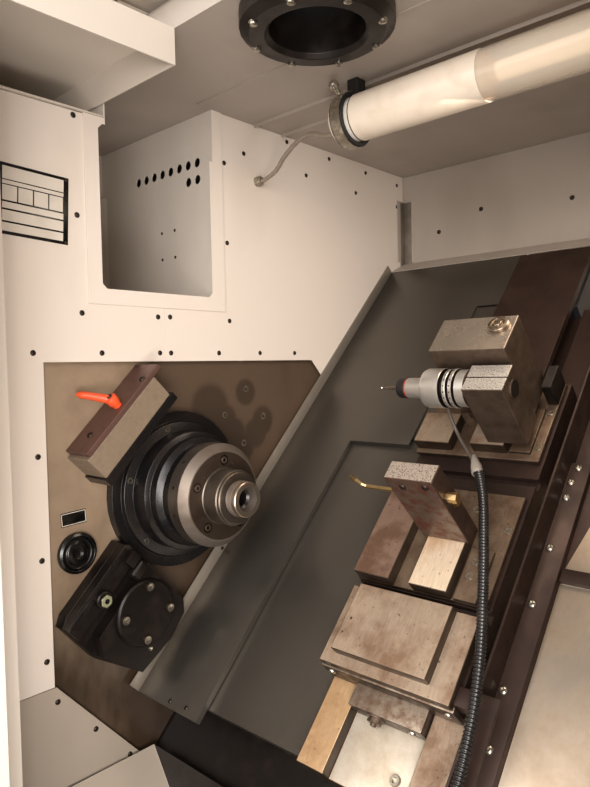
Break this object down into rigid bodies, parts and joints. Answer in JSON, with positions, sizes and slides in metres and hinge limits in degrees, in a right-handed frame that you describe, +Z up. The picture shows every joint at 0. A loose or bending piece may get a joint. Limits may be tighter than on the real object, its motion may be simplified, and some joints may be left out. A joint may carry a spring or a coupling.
{
  "type": "cnc turning lathe",
  "caption": "Slant bed CNC turning lathe with gang tooling, work lamp, touch probe and sliding door, shown with the door open.",
  "frame": {"origin": "centre of the overall box at floor level, under the machine", "axes": "+X along the spindle to the operator's right, +Y to the back, +Z up"},
  "size_m": [1.745, 1.5, 1.82],
  "materials": {
    "powder_coat": "satin powder coat",
    "khaki_paint": "oily machine paint",
    "cast_iron": "cast and machined",
    "ground_steel": "ground",
    "oiled_steel": "oil stained",
    "stainless": "satin dark sheet",
    "black_oxide": "black",
    "brown_plate": "dark brown",
    "orange_plastic": "moulded",
    "red_plastic": "moulded",
    "green_plastic": "moulded",
    "brass": "drawn",
    "black_rubber": "matt",
    "motor_paint": "satin black",
    "clear_sheet": "clear polycarbonate",
    "lamp_sleeve": "translucent white"
  },
  "bodies": {
    "frame": {"machine_base": "powder_coat", "wall_panel_front": "powder_coat", "wall_panel_rear": "powder_coat", "wall_panel_lower": "powder_coat", "recess_box": "powder_coat", "rear_wall_panel": "powder_coat", "roof_panel": "powder_coat", "left_enclosure": "powder_coat", "right_enclosure": "powder_coat", "control_housing": "powder_coat", "electrical_cabinet": "powder_coat", "headstock_casting": "khaki_paint", "clamp_block": "khaki_paint", "bed_casting": "cast_iron", "front_bearing": "ground_steel", "rear_bearing": "ground_steel", "coolant_tank": "stainless", "chip_chute": "stainless", "way_cover_fixed": "stainless", "spindle_cover": "black_oxide", "lower_bracket": "black_oxide", "bracket_disc": "black_oxide", "duct_flange": "black_oxide", "lamp_clamp": "black_oxide", "clamp_bar": "brown_plate", "drive_belt": "black_rubber", "sealing_cap": "black_rubber", "lamp_cable": "black_rubber", "coolant_pump": "motor_paint", "spindle_motor": "motor_paint", "z_servo_motor": "motor_paint", "lamp_tube": "lamp_sleeve"},
    "spindle": {"spindle": "ground_steel", "spindle_pulley": "cast_iron"},
    "motor_shaft": {"motor_pulley": "cast_iron"},
    "z_screw": {"z_ballscrew": "ground_steel"},
    "saddle": {"saddle": "oiled_steel", "saddle_cover_left": "stainless", "saddle_cover_right": "ground_steel", "x_servo_motor": "motor_paint"},
    "x_screw": {"x_ballscrew": "ground_steel"},
    "cross_slide": {"gang_table": "oiled_steel", "tool_plate_front": "oiled_steel", "tool_plate_middle": "oiled_steel", "tool_plate_rear": "oiled_steel", "coolant_block": "oiled_steel", "coolant_pipe": "brass", "probe_clamp": "ground_steel", "rear_holder": "ground_steel", "probe_body": "ground_steel", "probe_conduit": "black_rubber", "x_way_cover": "brown_plate"},
    "stylus": {"probe_stylus": "ground_steel"},
    "door": {"door_leaf": "powder_coat", "door_window": "clear_sheet"},
    "clamp_lever": {"clamp_lever": "orange_plastic"},
    "emergency_stop": {"emergency_stop": "red_plastic"},
    "start_button": {"start_button": "green_plastic"},
    "handwheel": {"handwheel": "black_oxide"},
    "cabinet_door": {"cabinet_door": "powder_coat"}
  },
  "joints": [
    {"name": "spindle_turn", "type": "hinge", "parent": "frame", "child": "spindle", "pos_m": [-0.2425, -0.299, 1.07], "axis": [1, 0, 0], "continuous": true},
    {"name": "motor_turn", "type": "hinge", "parent": "frame", "child": "motor_shaft", "pos_m": [-0.2425, 0.14648, 1.35991], "axis": [1, 0, 0], "continuous": true},
    {"name": "saddle_travel", "type": "slide", "parent": "frame", "child": "saddle", "axis": [1, 0, 0], "range_m": [-0.055, 0.075]},
    {"name": "z_screw_turn", "type": "hinge", "parent": "frame", "child": "z_screw", "pos_m": [-0.2425, -0.04388, 0.97044], "axis": [1, 0, 0], "continuous": true},
    {"name": "cross_travel", "type": "slide", "parent": "saddle", "child": "cross_slide", "axis": [0, 0.7071, 0.7071], "range_m": [-0.24, 0.1]},
    {"name": "x_screw_turn", "type": "hinge", "parent": "saddle", "child": "x_screw", "pos_m": [0.1925, -0.16606, 0.93706], "axis": [0, 0.7071, 0.7071], "continuous": true},
    {"name": "stylus_tilt", "type": "hinge", "parent": "cross_slide", "child": "stylus", "pos_m": [0.1025, -0.13495, 1.23405], "axis": [0, 0.7071, 0.7071], "range_deg": [-3, 3], "stiffness_Nm_per_rad": 0.05},
    {"name": "door_travel", "type": "slide", "parent": "frame", "child": "door", "axis": [1, 0, 0], "range_m": [0, 0.6565]},
    {"name": "lever_turn", "type": "hinge", "parent": "frame", "child": "clamp_lever", "pos_m": [-0.2085, -0.43109, 1.21623], "axis": [0, -0.7071, 0.7071], "range_deg": [-40, 60]},
    {"name": "stop_press", "type": "slide", "parent": "frame", "child": "emergency_stop", "axis": [0, 1, 0], "range_m": [0, 0.005], "stiffness_N_per_m": 400},
    {"name": "start_press", "type": "slide", "parent": "frame", "child": "start_button", "axis": [0, 1, 0], "range_m": [0, 0.003], "stiffness_N_per_m": 400},
    {"name": "wheel_turn", "type": "hinge", "parent": "frame", "child": "handwheel", "pos_m": [0.735, -0.715, 1.045], "axis": [0, -1, 0], "continuous": true},
    {"name": "cabinet_door_turn", "type": "hinge", "parent": "frame", "child": "cabinet_door", "pos_m": [0.0455, 0.7305, 0.9], "axis": [0, 0, 1], "range_deg": [0, 100]}
  ],
  "couplings": [
    {"joint": "motor_turn", "follows": "spindle_turn", "ratio": 1.4546},
    {"joint": "z_screw_turn", "follows": "saddle_travel", "rad_per_m": 628.32},
    {"joint": "x_screw_turn", "follows": "cross_travel", "rad_per_m": 628.32}
  ]
}
